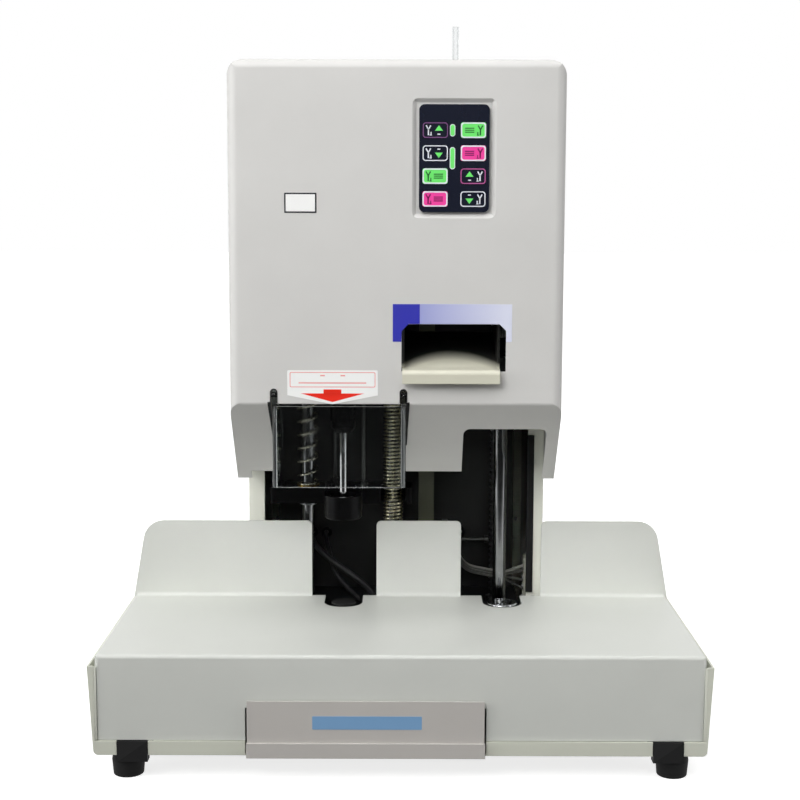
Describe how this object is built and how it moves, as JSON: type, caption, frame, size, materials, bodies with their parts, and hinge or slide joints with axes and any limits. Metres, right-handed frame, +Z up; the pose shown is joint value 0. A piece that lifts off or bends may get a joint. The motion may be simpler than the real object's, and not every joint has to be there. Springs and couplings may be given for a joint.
{
  "type": "document riveting machine",
  "caption": "Desktop machine that drills a paper stack with a hollow bit and rivets it with a nylon tube between heated dies, with fence, shield, keypad and scrap drawer.",
  "frame": {"origin": "on the floor, under the middle of the machine's outer box", "axes": "+Z up, -Y towards the operator, +X to the operator's right"},
  "size_m": [0.45, 0.4, 0.546],
  "materials": {
    "cover_paint": "light warm grey satin powder coat",
    "table_paint": "light grey satin powder coat",
    "cream_paint": "cream powder coat",
    "drawer_paint": "warm light grey powder coat",
    "frame_casting": "machined casting, black enamel",
    "black_steel": "blackened steel",
    "zinc_strut": "yellow passivated zinc",
    "chrome_column": "ground hard chrome",
    "die_chrome": "turned and polished chrome",
    "machined_steel": "machined",
    "drill_steel": "ground",
    "pulley_aluminium": "turned",
    "motor_black": "black enamel",
    "solenoid_case": "blue enamel",
    "nylon_pad": "moulded nylon",
    "nylon_clear": "natural extruded nylon",
    "clear_acrylic": "clear acrylic, polished edges",
    "spring_steel": "oiled spring wire",
    "belt_rubber": "flat belt",
    "foot_rubber": "moulded rubber",
    "keypad_film": "printed film",
    "key_green": "printed film",
    "key_pink": "printed film",
    "inlet_plastic": "moulded",
    "board_green": "solder mask",
    "transformer_steel": "varnished laminations",
    "cable_sheath": "cable sheaths"
  },
  "bodies": {
    "root": {"base_pan": "cream_paint", "rubber_feet": "foot_rubber", "table_cover": "table_paint", "column_shell": "cream_paint", "rear_cover": "cover_paint", "head_cover": "cover_paint", "lower_frame": "frame_casting", "back_plate": "black_steel", "centre_strut": "zinc_strut", "upper_plate": "frame_casting", "guide_column_left": "chrome_column", "guide_column_right": "chrome_column", "rivet_column": "chrome_column", "drill_anvil": "machined_steel", "drill_pad": "nylon_pad", "lower_die": "die_chrome", "lower_heater": "black_steel", "drill_feed_motor": "motor_black", "rivet_feed_motor": "motor_black", "return_spring": "spring_steel", "tube_guide": "machined_steel", "cutter_block": "machined_steel", "cutter_solenoid": "solenoid_case", "tube_chute": "cream_paint", "shield_pins": "machined_steel", "keypad_panel": "keypad_film", "power_inlet": "inlet_plastic", "control_board": "board_green", "transformer": "transformer_steel", "wire_harness": "cable_sheath", "cover_screws": "machined_steel"},
    "carriage": {"drill_carriage": "frame_casting", "drill_motor": "motor_black", "drill_belt": "belt_rubber", "spindle_bearings": "drill_steel", "press_spring": "spring_steel"},
    "spindle": {"drill_spindle": "drill_steel", "drill_chuck": "black_steel", "drill_bit": "drill_steel"},
    "motor_shaft": {"motor_pulley": "pulley_aluminium"},
    "press": {"press_bar": "black_steel", "press_foot": "black_steel", "tie_rods": "machined_steel"},
    "rivet_head": {"rivet_arm": "frame_casting", "upper_die": "die_chrome"},
    "drill_lead_screw": {"drill_screw": "machined_steel"},
    "rivet_lead_screw": {"rivet_screw": "machined_steel"},
    "tube": {"nylon_tube": "nylon_clear"},
    "blade": {"cutter_blade": "machined_steel"},
    "shield": {"safety_shield": "clear_acrylic"},
    "drawer": {"scrap_drawer": "drawer_paint"},
    "rocker": {"rocker_switch": "inlet_plastic"},
    "key_left_1": {"key_left_1": "keypad_film"},
    "key_left_2": {"key_left_2": "keypad_film"},
    "key_left_3": {"key_left_3": "key_green"},
    "key_left_4": {"key_left_4": "key_pink"},
    "key_right_1": {"key_right_1": "key_green"},
    "key_right_2": {"key_right_2": "key_pink"},
    "key_right_3": {"key_right_3": "keypad_film"},
    "key_right_4": {"key_right_4": "keypad_film"}
  },
  "joints": [
    {"name": "drill_feed", "type": "slide", "parent": "root", "child": "carriage", "axis": [0, 0, -1], "range_m": [0, 0.0695], "deforming": ["return_spring"]},
    {"name": "drill_screw_turn", "type": "hinge", "parent": "root", "child": "drill_lead_screw", "pos_m": [-0.0065, 0.036, 0.2], "axis": [0, 0, 1], "range_deg": [0, 5010]},
    {"name": "press_lift", "type": "slide", "parent": "carriage", "child": "press", "axis": [0, 0, 1], "range_m": [0, 0.066], "stiffness_N_per_m": 250, "springref_m": -0.03, "deforming": ["press_spring"]},
    {"name": "drill_spin", "type": "hinge", "parent": "carriage", "child": "spindle", "pos_m": [-0.0465, -0.048, 0.3], "axis": [0, 0, 1], "continuous": true},
    {"name": "motor_spin", "type": "hinge", "parent": "carriage", "child": "motor_shaft", "pos_m": [-0.05, 0.042, 0.34], "axis": [0, 0, 1], "continuous": true},
    {"name": "rivet_feed", "type": "slide", "parent": "root", "child": "rivet_head", "axis": [0, 0, -1], "range_m": [0, 0.1422]},
    {"name": "rivet_screw_turn", "type": "hinge", "parent": "root", "child": "rivet_lead_screw", "pos_m": [0.0825, 0.036, 0.2], "axis": [0, 0, 1], "range_deg": [0, 10250]},
    {"name": "shield_hinge", "type": "hinge", "parent": "root", "child": "shield", "pos_m": [-0.0465, -0.131, 0.273], "axis": [-1, 0, 0], "range_deg": [0, 90]},
    {"name": "drawer_slide", "type": "slide", "parent": "root", "child": "drawer", "axis": [0, -1, 0], "range_m": [0, 0.14]},
    {"name": "tube_feed", "type": "slide", "parent": "root", "child": "tube", "axis": [0, 0, 1], "range_m": [0, 0.1]},
    {"name": "blade_cut", "type": "slide", "parent": "root", "child": "blade", "axis": [-1, 0, 0], "range_m": [0, 0.0065], "stiffness_N_per_m": 300, "springref_m": -0.003},
    {"name": "power_rocker", "type": "hinge", "parent": "root", "child": "rocker", "pos_m": [0.08, 0.1865, 0.168], "axis": [1, 0, 0], "range_deg": [0, 12]},
    {"name": "press_key_left_1", "type": "slide", "parent": "root", "child": "key_left_1", "axis": [0, 1, 0], "range_m": [0, 0.0005], "stiffness_N_per_m": 800, "springref_m": -0.0003},
    {"name": "press_key_left_2", "type": "slide", "parent": "root", "child": "key_left_2", "axis": [0, 1, 0], "range_m": [0, 0.0005], "stiffness_N_per_m": 800, "springref_m": -0.0003},
    {"name": "press_key_left_3", "type": "slide", "parent": "root", "child": "key_left_3", "axis": [0, 1, 0], "range_m": [0, 0.0005], "stiffness_N_per_m": 800, "springref_m": -0.0003},
    {"name": "press_key_left_4", "type": "slide", "parent": "root", "child": "key_left_4", "axis": [0, 1, 0], "range_m": [0, 0.0005], "stiffness_N_per_m": 800, "springref_m": -0.0003},
    {"name": "press_key_right_1", "type": "slide", "parent": "root", "child": "key_right_1", "axis": [0, 1, 0], "range_m": [0, 0.0005], "stiffness_N_per_m": 800, "springref_m": -0.0003},
    {"name": "press_key_right_2", "type": "slide", "parent": "root", "child": "key_right_2", "axis": [0, 1, 0], "range_m": [0, 0.0005], "stiffness_N_per_m": 800, "springref_m": -0.0003},
    {"name": "press_key_right_3", "type": "slide", "parent": "root", "child": "key_right_3", "axis": [0, 1, 0], "range_m": [0, 0.0005], "stiffness_N_per_m": 800, "springref_m": -0.0003},
    {"name": "press_key_right_4", "type": "slide", "parent": "root", "child": "key_right_4", "axis": [0, 1, 0], "range_m": [0, 0.0005], "stiffness_N_per_m": 800, "springref_m": -0.0003}
  ],
  "couplings": [
    {"joint": "drill_screw_turn", "follows": "drill_feed", "rad_per_m": 1256.6},
    {"joint": "rivet_screw_turn", "follows": "rivet_feed", "rad_per_m": 1256.6},
    {"joint": "motor_spin", "follows": "drill_spin", "ratio": 1.5}
  ]
}
